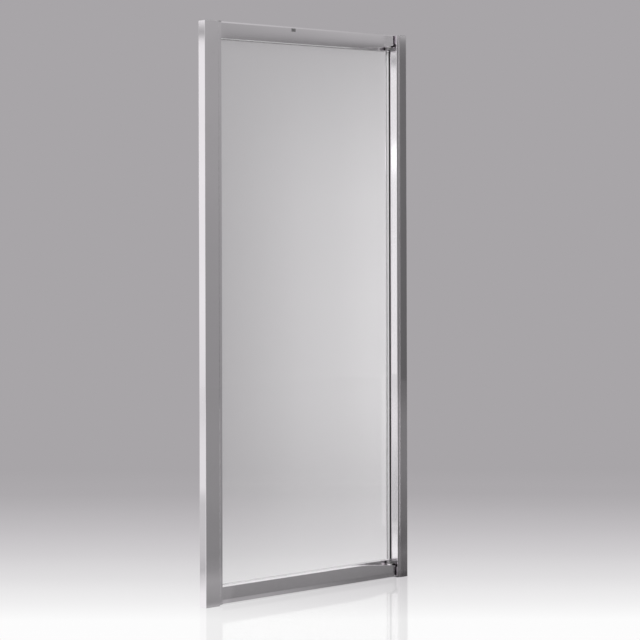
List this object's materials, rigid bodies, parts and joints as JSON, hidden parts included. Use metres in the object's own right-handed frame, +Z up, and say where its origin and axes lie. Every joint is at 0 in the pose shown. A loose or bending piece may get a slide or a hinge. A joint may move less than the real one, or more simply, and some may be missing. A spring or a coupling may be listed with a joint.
{
  "type": "pivot shower door",
  "caption": "Framed pivot shower door: wall channels and posts carry a glass leaf that turns outwards on top and bottom pivots near one edge.",
  "frame": {"origin": "middle of the door's width and of its depth, at the height of the shower tray", "axes": "+X towards the pivot side, +Y into the shower, +Z up"},
  "size_m": [0.9, 0.06, 1.85],
  "materials": {
    "polished_silver": "polished silver anodised",
    "cast_metal": "cast, polished to match the rails",
    "steel": "stainless, plain",
    "dark_steel": "dark plated",
    "clear_glass": "clear toughened",
    "dark_rubber": "black, smooth",
    "grey_rubber": "grey, smooth",
    "magnet_strip": "magnetic rubber strip",
    "grey_plastic": "moulded grey",
    "white_plastic": "moulded acetal",
    "black_plastic": "moulded black"
  },
  "bodies": {
    "frame": {"adjusting_screws_left": "steel", "adjusting_screws_right": "steel", "bracket_screws": "steel", "head_bar": "polished_silver", "head_seal": "grey_rubber", "hinge_post": "polished_silver", "joiner_bottom_left": "steel", "joiner_bottom_right": "steel", "joiner_screws": "steel", "joiner_top_left": "steel", "joiner_top_right": "steel", "pin_grub_screws": "steel", "pivot_bracket_bottom": "dark_steel", "pivot_bracket_top": "dark_steel", "pivot_pin_bottom": "steel", "pivot_pin_top": "steel", "post_cap_left": "grey_plastic", "post_cap_right": "grey_plastic", "screw_covers_left": "grey_plastic", "screw_covers_right": "grey_plastic", "strike_magnet": "magnet_strip", "strike_magnet_carrier": "dark_rubber", "strike_post": "polished_silver", "threshold": "polished_silver", "threshold_seal": "grey_rubber", "thrust_washer_bottom": "white_plastic", "thrust_washer_top": "white_plastic", "wall_channel_left": "polished_silver", "wall_channel_right": "polished_silver"},
    "leaf": {"corner_block_bottom": "cast_metal", "corner_block_top": "cast_metal", "corner_screws": "steel", "glass_pane": "clear_glass", "glazing_gasket_bottom": "grey_rubber", "glazing_gasket_closing": "grey_rubber", "glazing_gasket_top": "grey_rubber", "hinge_seal": "dark_rubber", "leaf_bottom_rail": "polished_silver", "leaf_closing_stile": "polished_silver", "leaf_magnet": "magnet_strip", "leaf_magnet_carrier": "dark_rubber", "leaf_top_rail": "polished_silver", "pivot_block_bottom": "cast_metal", "pivot_block_screws": "steel", "pivot_block_top": "cast_metal", "pivot_bush_bottom": "white_plastic", "pivot_bush_top": "white_plastic", "rail_clip": "grey_plastic", "setting_blocks": "black_plastic", "stile_cap_bottom": "black_plastic", "stile_cap_top": "black_plastic", "sweep_seal": "grey_rubber"}
  },
  "joints": [
    {"name": "leaf_pivot", "type": "hinge", "parent": "frame", "child": "leaf", "pos_m": [0.386, -0.007, 0], "axis": [0, 0, 1], "range_deg": [0, 90]}
  ]
}
